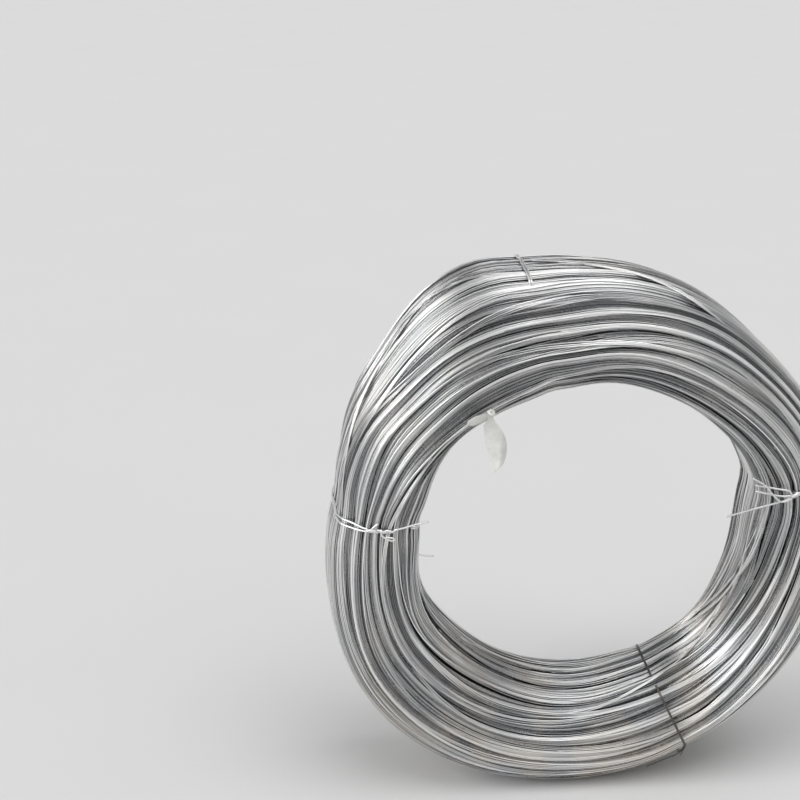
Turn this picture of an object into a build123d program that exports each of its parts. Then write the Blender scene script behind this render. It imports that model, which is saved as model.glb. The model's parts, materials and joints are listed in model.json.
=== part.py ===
"""Coil of galvanized steel wire standing on its rim, held by four ties of doubled wire, with a bare tag at its bore.

Millimetres, +Z up. The coil's axis runs along Y and its front face looks towards -Y. Clock angles are read from
the front, from +X towards +Z. The origin is the middle of the bounding box at floor level.
"""

import math
import os

from build123d import *

# The bundle of turns. Its section is a rectangle with round corners and a short flat on each face.
BORE_DIAMETER = 370.0
BUNDLE_DEPTH = 115.0
COIL_WIDTH = 150.0
FACE_FLAT = 23.0
LAY_PITCH = 5.0
LAY_HEIGHT = 1.1

# The ties. Each is two wires laid side by side round the bundle, with their ends twisted together.
TIE_DIAMETER = 2.5
TIE_CLEARANCE = 0.2
STRAND_OVERLAP = 0.1
TWIST_PITCH = 9.0
TWIST_RADIUS = 1.0
TWIST_CLEARANCE = 0.15
LEFT_TIE_CLOCK = 172.0
RIGHT_TIE_CLOCK = 15.0
LOWER_TIE_CLOCK = -63.0
UPPER_TIE_CLOCK = 103.0

# Steps from where a twist rises out of the bundle, as (radius, axis, tangent): its run, then its wire ends
LEFT_RUN = (-28, 0, -3)
LEFT_ENDS = (
    ((-27, 0, -3), (-49, 2.5, -11), (-65, 6, -14)),
    ((-26, -0.5, -3), (-31, -1.5, 3), (-28, -2.5, 6), (-20, -2, 5)),
    ((-2, 0, 0), (-5, -1.5, -6), (-10, -2, -14)),
)
RIGHT_RUN = (-18, 0, 0)
RIGHT_ENDS = (
    ((-17, 0, 0), (-60, 3, -3.5), (-98, 7, -7)),
    ((-17, 0, 0), (-29, -1.5, -1), (-38, -2.5, 0), (-47, -1, 15), (-53, 1, 24), (-59, 3, 29)),
    ((-17, 0, 0), (-43, 1, 6), (-59, 3, 14)),
    ((-17, 0, 0), (-30, 0, 6), (-43, 2, 15)),
)
LOWER_RUN = (-0.5, 0, -18)
LOWER_ENDS = (
    ((-0.5, 0, -17), (-1.2, -0.3, -32), (-4, -0.5, -52)),
    ((-0.5, 0, -17), (-1, -3, -22), (-4, -7, -25)),
)
UPPER_RUN = (-18, 0, 0)
UPPER_ENDS = (
    ((-17, 0, 0), (-28, 1, 3), (-38, 1, 8)),
    ((-17, 0, 0), (-24, 1, -3), (-30, 1, -8)),
)

# The tag: a strip of soft sheet with its knot on the inner turns. The leaf's corners are given from the knot as
# shares of the tag's width and length.
TAG_CLOCK = 124.5
TAG_LENGTH = 72.0
TAG_WIDTH = 28.0
TAG_THICKNESS = 0.8
TAG_CURL_RADIUS = 36.0
LEAF_CORNERS = (
    (-0.08, 0.0), (-0.27, 0.2), (-0.23, 0.46), (0.04, 0.96), (0.2, 1.0), (0.56, 0.92), (0.72, 0.68), (0.68, 0.46),
    (0.26, 0.15), (0.08, 0.0),
)
LEAF_CORNER_RADIUS = 1.5
KNOT_RADIUS = 4.0
KNOT_ROUNDING = 2.5
KNOT_CLEARANCE = 0.2
SHORT_END_LENGTH = 27.0
SHORT_END_WIDTH = 9.0

BORE_RADIUS = BORE_DIAMETER / 2
OUTER_RADIUS = BORE_RADIUS + BUNDLE_DEPTH
MIDDLE_RADIUS = BORE_RADIUS + BUNDLE_DEPTH / 2
CORNER_RADIUS = (BUNDLE_DEPTH - FACE_FLAT) / 2
CORNER_LENGTH = math.pi / 2 * CORNER_RADIUS
LAND_LENGTH = COIL_WIDTH - 2 * CORNER_RADIUS
TIE_RADIUS = TIE_DIAMETER / 2
STRAND_OFFSET = TIE_RADIUS - STRAND_OVERLAP / 2

# Places on the section's outline, as distances from the front end of the bore's land
FRONT_FACE_END = CORNER_LENGTH + FACE_FLAT
REAR_FACE_START = 3 * CORNER_LENGTH + FACE_FLAT + LAND_LENGTH
LEFT_TWIST = CORNER_LENGTH + 0.7 * FACE_FLAT
LOWER_TWIST = FRONT_FACE_END + 0.42 * CORNER_LENGTH
TAG_PLACE = 0.4 * CORNER_LENGTH


def outline_frame(distance):
    """Position and outward normal on the section's outline, each as a (radius, y) pair.

    The distance starts at the front end of the bore's land and runs over the front face, the rim and the rear
    face to the land's rear end.
    """
    inner = BORE_RADIUS + CORNER_RADIUS
    outer = OUTER_RADIUS - CORNER_RADIUS
    front = -COIL_WIDTH / 2 + CORNER_RADIUS
    rear = -front
    # Each stretch: its length, its arc's centre or its line's start, and the arc's first angle or the line's run
    stretches = (
        (CORNER_LENGTH, (inner, front), 180.0),
        (FACE_FLAT, (inner, -COIL_WIDTH / 2), (1, 0)),
        (CORNER_LENGTH, (outer, front), 270.0),
        (LAND_LENGTH, (OUTER_RADIUS, front), (0, 1)),
        (CORNER_LENGTH, (outer, rear), 0.0),
        (FACE_FLAT, (outer, COIL_WIDTH / 2), (-1, 0)),
        (CORNER_LENGTH, (inner, rear), 90.0),
    )
    left = distance
    for length, base, course in stretches:
        if left <= length + 1e-9:
            break
        left -= length
    if isinstance(course, tuple):
        normal = (course[1], -course[0])
        return (base[0] + course[0] * left, base[1] + course[1] * left), normal
    angle = math.radians(course + 90.0 * left / CORNER_LENGTH)
    normal = (math.cos(angle), math.sin(angle))
    return (base[0] + CORNER_RADIUS * normal[0], base[1] + CORNER_RADIUS * normal[1]), normal


def outline_point(distance, inset=0.0):
    """Point on the outline moved inwards by the inset."""
    point, normal = outline_frame(distance)
    return (point[0] - inset * normal[0], point[1] - inset * normal[1])


def clock_plane(clock, along=0.0):
    """Plane through the coil's axis: local x is the radius and local y the axis, moved along the tangent."""
    angle = math.radians(clock)
    tangent = Vector(-math.sin(angle), 0, math.cos(angle))
    return Plane(origin=tangent * along, x_dir=(math.cos(angle), 0, math.sin(angle)), z_dir=tangent)


def place(clock, radius, y, along=0.0):
    """World point at a clock angle, radius, axial position and distance along the tangent."""
    return clock_plane(clock, along).from_local_coords(Vector(radius, y, 0))


def rounded_section(inset):
    """The plain section of the bundle, shrunk by the inset."""
    return Pos(MIDDLE_RADIUS, 0) * RectangleRounded(
        BUNDLE_DEPTH - 2 * inset, COIL_WIDTH - 2 * inset, CORNER_RADIUS - inset
    )


def ribbed_section():
    """The section with a small arc for each lay of turns, and a plain land where the turns lay on the former."""
    length = 4 * CORNER_LENGTH + 2 * FACE_FLAT + LAND_LENGTH
    count = round(length / LAY_PITCH)
    step = length / count
    edges = []
    for index in range(count):
        first, last = index == 0, index == count - 1
        start = outline_point(index * step, 0.0 if first else LAY_HEIGHT)
        end = outline_point((index + 1) * step, 0.0 if last else LAY_HEIGHT)
        crest = outline_point((index + 0.5) * step, 0.35 * LAY_HEIGHT if first or last else 0.0)
        edges.append(ThreePointArc(start, crest, end))
    edges.append(Line(outline_point(length), outline_point(0.0)))
    return make_face(edges)


def tube(path):
    """Round wire of the ties' diameter along a path."""
    return sweep(Plane(origin=path @ 0, z_dir=path % 0) * Circle(TIE_RADIUS), path=path)


def tie_loops(clock):
    """The two parallel turns of a tie, let into the bundle until they are flush with it."""
    loops = []
    for side in (-1, 1):
        plane = clock_plane(clock, side * STRAND_OFFSET)
        loops.append(tube((plane * rounded_section(TIE_RADIUS)).wire()))
    return loops


def twist(start, direction, length):
    """Two strands wound round each other along a straight axis."""
    strands = []
    for turn in (0, 180):
        path = Plane(origin=start, z_dir=direction) * Rot(0, 0, turn) * Helix(TWIST_PITCH, length, TWIST_RADIUS)
        profile = Plane(origin=path @ 0, z_dir=path % 0) * Circle(TIE_RADIUS)
        strands.append(sweep(profile, path=path, is_frenet=True))
    return strands


def fuse(pieces):
    """One solid from overlapping pieces."""
    body = pieces[0]
    for piece in pieces[1:]:
        body = body + piece
    return body


def tie(clock, distance, run, ends):
    """A doubled tie at a clock angle.

    Its wires rise from the bundle at a distance along the section's outline and are twisted together over the
    run. Each wire end is a list of steps that starts on the twist.
    """
    (radius, y), normal = outline_frame(distance)
    lift = TIE_RADIUS + TWIST_RADIUS + TWIST_CLEARANCE
    base = (radius + lift * normal[0], y + lift * normal[1])
    foot = (radius - TIE_RADIUS * normal[0], y - TIE_RADIUS * normal[1])

    def at(step):
        return place(clock, base[0] + step[0], base[1] + step[1], step[2])

    pieces = tie_loops(clock)
    for side in (-1, 1):
        along = side * STRAND_OFFSET
        pieces.append(tube(Line(place(clock, *foot, along), place(clock, *base, along))))
    axis = at(run) - at((0, 0, 0))
    pieces += twist(at((0, 0, 0)), axis, axis.length)
    for steps in ends:
        pieces.append(tube(Spline(*[at(step) for step in steps])))
    return fuse(pieces)


def tie_channel(clock):
    """The room that a tie takes in the bundle."""
    width = 2 * (STRAND_OFFSET + TIE_RADIUS + TIE_CLEARANCE)
    reach = 4 * LAY_HEIGHT
    plane = clock_plane(clock)
    slab = extrude(
        plane * Pos(MIDDLE_RADIUS, 0) * Rectangle(BUNDLE_DEPTH + reach, COIL_WIDTH + reach), width / 2, both=True
    )
    core = extrude(plane * rounded_section(TIE_DIAMETER + TIE_CLEARANCE), width, both=True)
    return slab - core


def hanging_tag():
    """The tag: a knot resting on the bundle, a leaf hanging straight down and a short end beside the bundle."""
    (radius, y), normal = outline_frame(TAG_PLACE)
    lift = KNOT_RADIUS + KNOT_CLEARANCE
    knot_at = place(TAG_CLOCK, radius + lift * normal[0], y + lift * normal[1])
    corners = [(across * TAG_WIDTH, -down * TAG_LENGTH) for across, down in LEAF_CORNERS]
    leaf = make_face(Polyline(*corners, close=True))
    leaf = fillet(leaf.vertices(), LEAF_CORNER_RADIUS)
    prism = extrude(Plane(origin=knot_at, x_dir=(1, 0, 0), z_dir=(0, -1, 0)) * leaf, TAG_WIDTH / 2, both=True)
    curl_centre = knot_at + Vector(TAG_WIDTH / 5, TAG_CURL_RADIUS, 0)
    ring = Circle(TAG_CURL_RADIUS + TAG_THICKNESS / 2) - Circle(TAG_CURL_RADIUS - TAG_THICKNESS / 2)
    shell = extrude(Plane(origin=curl_centre, z_dir=(0, 0, 1)) * ring, 1.2 * TAG_LENGTH, both=True)
    outward = place(TAG_CLOCK, *normal) - place(TAG_CLOCK, 0, 0)
    short_end = Plane(origin=knot_at, x_dir=clock_plane(TAG_CLOCK).z_dir, z_dir=outward) * Box(
        SHORT_END_LENGTH, SHORT_END_WIDTH, TAG_THICKNESS, align=(Align.MIN, Align.CENTER, Align.CENTER)
    )
    knot = Box(2 * KNOT_RADIUS, 2 * KNOT_RADIUS, 2 * KNOT_RADIUS)
    knot = fillet(knot.edges(), KNOT_ROUNDING)
    knot = Plane(origin=knot_at, x_dir=clock_plane(TAG_CLOCK).z_dir, z_dir=outward) * knot
    return fuse([knot, prism & shell, short_end])


wire_coil = revolve(ribbed_section(), Axis.Y)
for clock in (LEFT_TIE_CLOCK, RIGHT_TIE_CLOCK, LOWER_TIE_CLOCK, UPPER_TIE_CLOCK):
    wire_coil = wire_coil - tie_channel(clock)

nodes = {
    "wire_coil": wire_coil,
    "tie_wire_left": tie(LEFT_TIE_CLOCK, LEFT_TWIST, LEFT_RUN, LEFT_ENDS),
    "tie_wire_right": tie(RIGHT_TIE_CLOCK, FRONT_FACE_END, RIGHT_RUN, RIGHT_ENDS),
    "tie_wire_lower": tie(LOWER_TIE_CLOCK, LOWER_TWIST, LOWER_RUN, LOWER_ENDS),
    "tie_wire_upper": tie(UPPER_TIE_CLOCK, REAR_FACE_START, UPPER_RUN, UPPER_ENDS),
    "label_tag": hanging_tag(),
}

boxes = [shape.bounding_box() for shape in nodes.values()]
low = [min(tuple(box.min)[axis] for box in boxes) for axis in range(3)]
high = [max(tuple(box.max)[axis] for box in boxes) for axis in range(3)]
to_floor = Pos(-(low[0] + high[0]) / 2, -(low[1] + high[1]) / 2, -low[2])
os.makedirs("parts", exist_ok=True)
for name, shape in nodes.items():
    placed = to_floor * shape
    print(name, len(placed.solids()), "solids,", round(placed.volume), "mm3,", placed.bounding_box())
    export_step(placed, f"parts/{name}.step")
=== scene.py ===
"""Looks of the coil of galvanized steel wire: its single turns, its four twisted ties and its knotted tag.

The wire is wound in millimetres and its meshes are in metres. Clock angles are in degrees and are read from
the front, from +X towards +Z. A distance on the outline starts at the front end of the bore's land and runs
over the front face, the rim and the rear face back to it.
"""

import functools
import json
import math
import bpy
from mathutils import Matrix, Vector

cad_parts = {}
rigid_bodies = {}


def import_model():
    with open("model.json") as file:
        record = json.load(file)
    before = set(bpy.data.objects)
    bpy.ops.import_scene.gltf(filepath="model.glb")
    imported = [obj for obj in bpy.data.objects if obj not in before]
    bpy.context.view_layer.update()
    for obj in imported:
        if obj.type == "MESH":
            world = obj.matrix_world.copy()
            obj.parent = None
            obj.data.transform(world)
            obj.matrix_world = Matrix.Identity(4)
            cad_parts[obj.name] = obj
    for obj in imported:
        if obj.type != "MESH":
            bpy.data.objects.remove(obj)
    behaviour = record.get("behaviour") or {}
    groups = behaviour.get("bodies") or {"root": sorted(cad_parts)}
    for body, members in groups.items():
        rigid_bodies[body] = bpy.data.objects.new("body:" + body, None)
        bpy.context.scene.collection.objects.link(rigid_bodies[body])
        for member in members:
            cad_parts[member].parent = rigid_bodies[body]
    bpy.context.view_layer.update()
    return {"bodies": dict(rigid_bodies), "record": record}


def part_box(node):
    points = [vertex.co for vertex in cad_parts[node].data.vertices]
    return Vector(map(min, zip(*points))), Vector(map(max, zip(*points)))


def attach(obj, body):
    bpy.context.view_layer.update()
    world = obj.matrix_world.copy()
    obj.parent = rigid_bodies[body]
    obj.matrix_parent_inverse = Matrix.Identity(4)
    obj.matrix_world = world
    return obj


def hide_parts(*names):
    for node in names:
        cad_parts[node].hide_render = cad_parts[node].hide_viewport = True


bl_info = {
    "name": "Galvanized wire coil",
    "version": (1, 0, 0),
    "blender": (4, 5, 0),
    "location": "3D View > Sidebar > Wire coil",
    "description": "Winds a coil of galvanized wire, with its ties and its tag, round the packed frame",
    "category": "Add Mesh",
}

import bmesh
import bpy
import numpy as np
from mathutils import Vector

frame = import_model()

MM = 0.001
BODY = next(iter(frame["bodies"]))
COIL_LOW, COIL_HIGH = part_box("wire_coil")
COIL_MIDDLE = (COIL_LOW + COIL_HIGH) / 2
BORE_MOUNT = frame["record"]["mounts"][0]["dims"]

# The section of the bundle, as the frame has it, in mm
OUTER_RADIUS = (COIL_HIGH.x - COIL_LOW.x) / 2 / MM
COIL_WIDTH = (COIL_HIGH.y - COIL_LOW.y) / MM
BORE_RADIUS = BORE_MOUNT["r_mm"]
LAND_LENGTH = BORE_MOUNT["length_mm"]
CORNER_RADIUS = (COIL_WIDTH - LAND_LENGTH) / 2
CORNER_LENGTH = math.pi / 2 * CORNER_RADIUS
FACE_FLAT = OUTER_RADIUS - BORE_RADIUS - 2 * CORNER_RADIUS
OUTLINE_LENGTH = 4 * CORNER_LENGTH + 2 * FACE_FLAT + 2 * LAND_LENGTH
CORNER_STEPS = 60
FLAT_STEPS = 30

# Winding: stations round the coil, and cells of the outline on which heights are kept. Nowhere is a height
# past all others. Bent out of round, a cell keeps at least the least stretch of its width
STATIONS = 120
STATION_ANGLE = 2 * math.pi / STATIONS
STATION_DEGREES = 360 / STATIONS
ANGLES = np.arange(STATIONS) * STATION_ANGLE
CELLS = 900
CELL = OUTLINE_LENGTH / CELLS
TURN_SIDES = 6
NOWHERE = 99.0
LEAST_STRETCH = 0.75

# The inner body under the turns: its depth in mm, sides and steps
CORE_DEPTH = 9.5
CORE_SIDES = 64
CORE_STEPS = 96

# The coil is out of round. Radius of the rim and of the bore at clock angles, in mm
RIM_BY_CLOCK = {
    0: 291, 20: 292, 36: 290, 48: 287, 56: 292, 70: 299, 80: 303, 90: 306, 97: 308, 103: 316, 108: 326,
    113: 330, 118: 328, 125: 322, 131: 312, 139: 300, 147: 301, 153: 293, 161: 281, 171: 281, 181: 282,
    188: 288, 200: 297, 210: 306, 220: 312, 235: 313, 250: 311, 260: 305, 270: 302, 285: 301, 298: 296,
    314: 292, 330: 292,
}
BORE_BY_CLOCK = {
    0: 190, 10: 196, 20: 203, 30: 200, 42: 193, 54: 188, 70: 185, 80: 186, 90: 182, 98: 177, 110: 176,
    118: 178, 126: 181, 140: 186, 150: 186, 165: 180, 180: 181, 195: 189, 208: 195, 222: 191, 237: 192,
    250: 193, 269: 195, 280: 195, 290: 196, 300: 200, 312: 204, 322: 202, 338: 194,
}

# Curves by clock angle are blurred: two blurs and the curve's step in degrees, and the reach in steps
RING_BLUR = 8.0
CREASE_BLUR = 4.0
CURVE_STEP = 0.5
CURVE_REACH = 60

# Creases between the lays of turns, from the bore over the front face to the rim: distance at clock angles
CREASES = (
    {0: -10, 15: 0, 30: 0, 60: -12, 90: -16, 120: -14, 150: -12, 180: -20, 210: -24, 240: -22, 270: -24,
     300: -38, 315: -40, 335: -25, 350: -12},
    {0: 8, 20: 18, 40: 14, 60: 8, 90: 4, 120: 4, 150: 2, 180: 0, 200: 0, 230: -2, 255: -4, 275: -10,
     290: -18, 305: -24, 320: -14, 340: 3},
    {0: 24, 10: 34, 20: 36, 40: 32, 60: 24, 80: 20, 100: 18, 120: 18, 140: 18, 150: 22, 160: 30, 172: 36,
     185: 34, 205: 30, 225: 24, 240: 17, 262: 18, 275: 16, 285: 10, 295: 2, 305: -4, 315: -2, 330: 5,
     340: 15, 352: 20},
    {0: 42, 10: 52, 20: 46, 30: 41, 45: 37, 60: 33, 80: 31, 100: 30, 120: 30, 135: 32, 145: 38, 155: 50,
     165: 58, 175: 57, 190: 50, 210: 43, 225: 37, 240: 31, 262: 30, 275: 26, 290: 20, 300: 17, 315: 15,
     330: 19, 345: 30},
    {0: 58, 10: 68, 16: 71, 25: 66, 35: 62, 50: 58, 60: 55, 70: 53, 80: 48, 100: 42, 120: 38, 135: 40,
     147: 47, 158: 62, 168: 74, 178: 70, 190: 66, 205: 58, 220: 54, 235: 50, 248: 45, 262: 40, 275: 34,
     288: 30, 300: 27, 315: 26, 330: 33, 345: 46},
    {0: 70, 12: 79, 22: 80, 30: 75, 45: 71, 60: 65, 70: 62, 85: 58, 100: 55, 120: 54, 135: 58, 148: 67,
     160: 80, 170: 86, 180: 83, 195: 77, 215: 71, 235: 67, 250: 65, 262: 63, 275: 58, 290: 52, 300: 49,
     315: 46, 328: 51, 345: 60},
    {0: 86, 15: 97, 30: 96, 40: 92, 50: 86, 60: 82, 75: 76, 85: 72, 95: 69, 110: 67, 120: 67, 130: 69,
     140: 72, 150: 79, 160: 90, 170: 97, 182: 94, 200: 88, 215: 83, 230: 82, 250: 82, 265: 82, 280: 80,
     295: 78, 310: 73, 325: 70, 340: 74},
    {0: 100, 15: 110, 30: 110, 45: 111, 55: 109, 65: 103, 75: 96, 85: 90, 97: 83, 110: 80, 120: 82,
     130: 88, 140: 94, 150: 101, 160: 106, 172: 106, 190: 103, 205: 104, 220: 103, 245: 99, 265: 100,
     280: 103, 300: 103, 315: 94, 330: 92, 345: 94},
    {0: 113, 15: 122, 30: 121, 45: 120, 55: 118, 65: 113, 75: 108, 85: 103, 97: 98, 110: 95, 120: 98,
     130: 103, 142: 110, 152: 120, 162: 127, 172: 123, 190: 117, 205: 115, 220: 112, 240: 113, 262: 117,
     285: 117, 305: 112, 320: 107, 340: 107},
    {0: 129, 20: 137, 38: 136, 50: 134, 60: 132, 66: 130, 72: 126, 80: 120, 90: 117, 97: 112, 105: 108,
     115: 108, 122: 111, 132: 117, 142: 124, 152: 135, 162: 144, 172: 145, 190: 138, 210: 131, 235: 130,
     260: 132, 285: 132, 310: 128, 335: 124},
    {0: 147, 30: 152, 50: 148, 62: 143, 72: 138, 82: 134, 92: 131, 98: 127, 104: 123, 115: 124, 125: 126,
     135: 131, 145: 135, 152: 143, 160: 156, 170: 167, 185: 162, 205: 154, 235: 149, 270: 149, 300: 147,
     330: 145},
    {0: 167, 30: 171, 50: 166, 62: 162, 75: 159, 90: 155, 103: 150, 112: 148, 120: 150, 128: 155, 136: 160,
     146: 160, 155: 169, 163: 188, 172: 197, 190: 187, 220: 176, 260: 171, 300: 167, 330: 165},
)
REAR_LAYS = 15

# How bright the front lays are, from the bore to the rim, and the row under them: painted shade darkens the
# lays near the bore and the under row, which shows only in the gaps, and painted light brightens the outer
# lays. The rear lays are drawn at random
FRONT_LIGHT_AND_SHADE_TONES = (0.45, 0.6, 0.3, 0.3, 0.45, 0.9, 0.8, 0.6, 0.9, 0.6, 0.85)
UNDER_SHADE_TONE = 0.2

# Each lay is heaped up in rows: share of its width that a row leaves free at each edge
LAY_EDGES = (0.04, 0.09, 0.17, 0.27, 0.38)

# Turns waver beside their way: amount in mm and waves in a turn
ROW_WAVERS = ((0.16, 1.3), (0.10, 3.37), (0.05, 6.71))
BUNDLE_WAVERS = ((0.2, 1.61), (0.1, 4.3))

# The ends of wire go down between the turns: over how many stations, and how deep in mm
ROW_DIVE = (10, 3.0)
CROSSING_DIVE = (7, 4.5)
STRAY_DIVE = (6, 3.5)

# Over how many stations a turn is eased to the height of the one before it, and how many a stray turn has
JOIN_STATIONS = 8
STRAY_STATIONS = (18, 70)

# A stretch shows where less than this covers it, in mm. It keeps a margin of stations at each end, and one
# with fewer stations than the shortest is left out
SEEN_UNDER = 0.2
SEEN_MARGIN = 3
SHORTEST_SEEN = 6

# Painted shade: wire in a hollow is made darker the deeper it lies. Given here: how many cells away the
# crests count, the depth in mm that changes nothing, and the loss of tone by mm below it. Each stretch also
# has a tone of its own
CREST_REACH = 11
HOLLOW_START = 0.6
HOLLOW_PAINTED_SHADE = 0.16
TONE_SPREAD = 0.16

# Turns that cross the lays: how many lie side by side, and their distance at clock angles
CROSSINGS = (
    (5, {48: 150, 57: 142, 64: 142, 70: 150, 78: 163, 86: 178, 95: 196, 106: 214, 120: 226}),
    (2, {250: 42, 262: 39, 270: 35, 280: 28, 290: 18, 300: 7, 312: -6, 324: -16, 336: -22}),
    (4, {196: 50, 208: 47, 222: 46, 240: 45, 262: 40, 280: 37, 300: 34, 316: 38, 330: 47}),
    (4, {298: 28, 312: 28, 325: 35, 335: 44, 347: 52, 358: 60}),
    (4, {300: -66, 312: -58, 322: -43, 332: -20, 342: 1, 350: 13, 360: 22, 372: 28}),
    (3, {306: -70, 318: -60, 328: -42, 338: -20, 347: -3, 356: 8, 366: 16}),
    (4, {84: 134, 92: 132, 100: 124, 108: 116, 118: 112, 128: 114, 136: 121, 146: 132, 154: 146}),
    (3, {96: 140, 105: 133, 115: 128, 125: 127, 135: 130, 145: 130, 152: 137, 160: 152}),
    (4, {112: 204, 122: 190, 132: 176, 142: 163, 152: 152, 162: 150, 174: 152}),
    (3, {100: 172, 110: 170, 120: 180, 128: 195, 136: 214, 146: 232}),
    (3, {58: 92, 70: 84, 82: 80, 94: 79, 110: 78, 122: 84, 134: 92, 146: 102, 158: 116}),
    (3, {140: 38, 148: 45, 156: 55, 164: 66, 172: 74, 182: 76, 196: 73}),
    (2, {210: 68, 225: 70, 240: 72, 255: 70, 270: 66, 285: 62, 300: 60, 318: 62, 334: 68}),
)

# The ties pull the bundle in: clock angle, depth in mm and half width in degrees
PINCHES = ((171, 4.5, 5.0), (15, 4.0, 5.0), (296, 1.6, 5.0), (103, 2.0, 5.0))

# The pieces of wound wire: where the first starts on the outline, and where each ends
REGION_START = -40.0
REGIONS = {
    "turns_bore": 12.0,
    "turns_front_inner": 72.0,
    "turns_front_outer": 132.0,
    "turns_rim_front": 185.0,
    "turns_rim_rear": 245.0,
    "turns_rear_outer": 310.0,
    "turns_rear_inner": 370.0,
    "turns_bore_rear": OUTLINE_LENGTH + REGION_START,
}

# The wire's inner end stands out into the bore: clock angle, distance on the outline, and height in mm over
# the turns that its first places rest on
INNER_END = (
    (160, 6, 0.6), (166, 5, 0.6), (172, 3, 0.6), (179, 1, 0.8), (182.7, -1, 1.2), (184.7, -2, 3.5),
    (185.8, -3, 9), (186.6, -3, 17), (187.2, -3, 27),
)
INNER_END_RESTS = 6
INNER_END_TONE = 1.1
INNER_END_STEP = 1.5
# A direction that no wire starts along
FIRST_SIDE = (0.31, 0.52, 0.79)

# The ties. The twist stands on the outline at a distance, and its line and the four wire ends are steps from
# there as (radius, axis, tangent) in mm. Between the two buried distances the loop lies under the turns.
# Gauge is a share of the tie wire's diameter, tone is brightness, turns are those of the twist, and spread is
# how far the two wires part after it
TIES = (
    {
        "name": "tie_wire_left", "gauge": 1.0, "tone": 0.9, "clock": 172.1, "twist": 99.0, "turns": 3.0,
        "spread": 2.1, "buried": (30.0, 90.0),
        "line": ((0, 0, 0), (-10, -0.5, -0.5), (-20, -0.5, -1), (-31, 0, -3)),
        "ends": (
            ((-39, 1, -7), (-50, 3, -11), (-64, 6, -14)),
            ((-16, -2, 4.6), (-26, -2.6, 8.2), (-29, -2.8, 7.2), (-28, -2.9, 5.2), (-20, -2.7, 4.4)),
            ((-4, -1.5, -4), (-9, -2.5, -10)),
            ((-25, 0, -1.5), (-27, -0.5, -2)),
        ),
    },
    {
        "name": "tie_wire_right", "gauge": 1.0, "tone": 0.8, "clock": 15.0, "twist": 76.0, "turns": 1.6,
        "spread": 0.2, "buried": (-76.0, 70.0),
        "line": ((0, 0, 0), (-4, -0.3, -0.5), (-8, -0.6, -1.2), (-12, -1, -2)),
        "ends": (
            ((-18.5, -1.5, -3), (-50, 2, -4.6), (-84, 5, -6.2)),
            ((-17, -2, -4), (-25, -2.5, -1.5), (-33, -2, 13), (-35, -1, 19), (-47, 2, 31)),
            ((-13, -2, 1), (-24, -1, 4), (-47, 3, 15)),
            ((-12, -1, 6), (-22, 0.5, 11), (-46, 3, 22)),
        ),
    },
    {
        "name": "tie_wire_lower", "gauge": 0.62, "tone": 0.0, "clock": -64.0, "twist": 126.0, "turns": 1.8,
        "spread": 0.0, "buried": (8.0, 22.0),
        "line": ((0, 0, 0), (5, 6, 0), (11, 11, -2), (16, 14, -6)),
        "ends": (
            ((18.5, 15, -14), (17.5, 15, -30), (16, 14.5, -52)),
            ((17, 15, -9), (16, 16, -12)),
            ((18, 12, -8), (19, 11, -11)),
            ((15, 15, -9), (14, 17, -11)),
        ),
    },
    {
        "name": "tie_wire_upper", "gauge": 1.0, "tone": 1.0, "clock": 103.0, "twist": 268.0, "turns": 2.2,
        "spread": 0.0, "buried": (-12.0, 142.0),
        "line": ((0, 0, 0), (-6, 0.5, 0), (-12, 0.5, 0), (-18, 0, 0)),
        "ends": (
            ((-24, 0.5, 2), (-30, 1, 4), (-38, 1, 8)),
            ((-22, 0.5, -2), (-26, 1, -4), (-30, 1, -8)),
            ((-21, 1.5, 1), (-25, 2, 2)),
            ((-21, 1, -1), (-24, 2, -2)),
        ),
    },
)
TIE_SIDES = 10
TIE_STEP = 1.4

# A tie's loop rests on the highest of some cells. Its places start and end a gap from the twist. Where it is
# buried it goes down over a fade, and its two wires part over a length. All but the two counts are in mm
TIE_CELLS = 5
TIE_PLACES = 150
TIE_GAP = 2.0
BURIED_FADE = 6.0
PARTED_LENGTH = 64.0
# Where a buried stretch begins before the outline does, distances are counted from here
BURIED_START = -100

# Shares of a tie wire's radius: how high its loop and its twist stand, how far its two wires lie from their
# middle and how wide the twist is
TIE_SEAT = 0.85
TIE_FOOT = 2.6
TIE_BESIDE = 1.02
TWIST_WIDTH = 1.28

# The two legs of the first wire and of the second start at these shares of a turn. The twist's step, and how
# far it ends before the free ends bend away, are in mm
TWIST_PHASES = (0.0, 0.5, 0.25, 0.75)
TWIST_STEP = 0.8
TWIST_FREE = 3.0

# The tag hangs from its knot. Rows of the leaf: how far down, to +X, half width and how far back, in mm
TAG_CLOCK = 124.3
TAG_DISTANCE = 41.0
LEAF_ROWS = (
    (3.0, -0.5, 2.4, 0.0), (7.0, -0.6, 3.2, 0.2), (10.0, -0.4, 5.4, 0.4), (13.0, -0.1, 7.6, 0.6),
    (18.0, 1.8, 9.2, 0.9), (24.0, 3.7, 10.4, 1.3), (31.0, 5.8, 11.5, 1.7), (38.0, 7.0, 11.3, 2.0),
    (44.0, 7.9, 10.8, 2.3), (52.0, 8.4, 9.4, 2.6), (57.0, 8.1, 7.8, 2.8), (61.5, 7.3, 6.0, 2.9),
    (65.0, 5.4, 3.6, 3.0), (67.5, 4.0, 1.9, 3.0), (69.5, 3.6, 0.8, 3.0),
)
# Rows of the short end, which lies on the turns: share of its length and half width. Its first and last steps
# from the knot are in degrees round the coil and in mm on the outline
SHORT_END_LENGTH = 28
SHORT_END_ROWS = ((0.12, 2.2), (0.35, 5.0), (0.6, 6.4), (0.9, 6.0), (1.0, 4.4))
SHORT_END_STEPS = np.array(((0.0, 1.5), (7.4, 6.5)))
# How high it lies over the turns and how much it waves, in mm
SHORT_END_HEIGHT = 4.2
SHORT_END_WAVE = 1.5
# Rings of the knot: tilt in radians, radius and half thickness in mm. Its height over the turns is in mm
KNOT_RINGS = ((0.3, 3.0, 1.9), (1.5, 2.8, 1.8), (2.4, 2.4, 1.9))
KNOT_HEIGHT = 2.0
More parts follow.
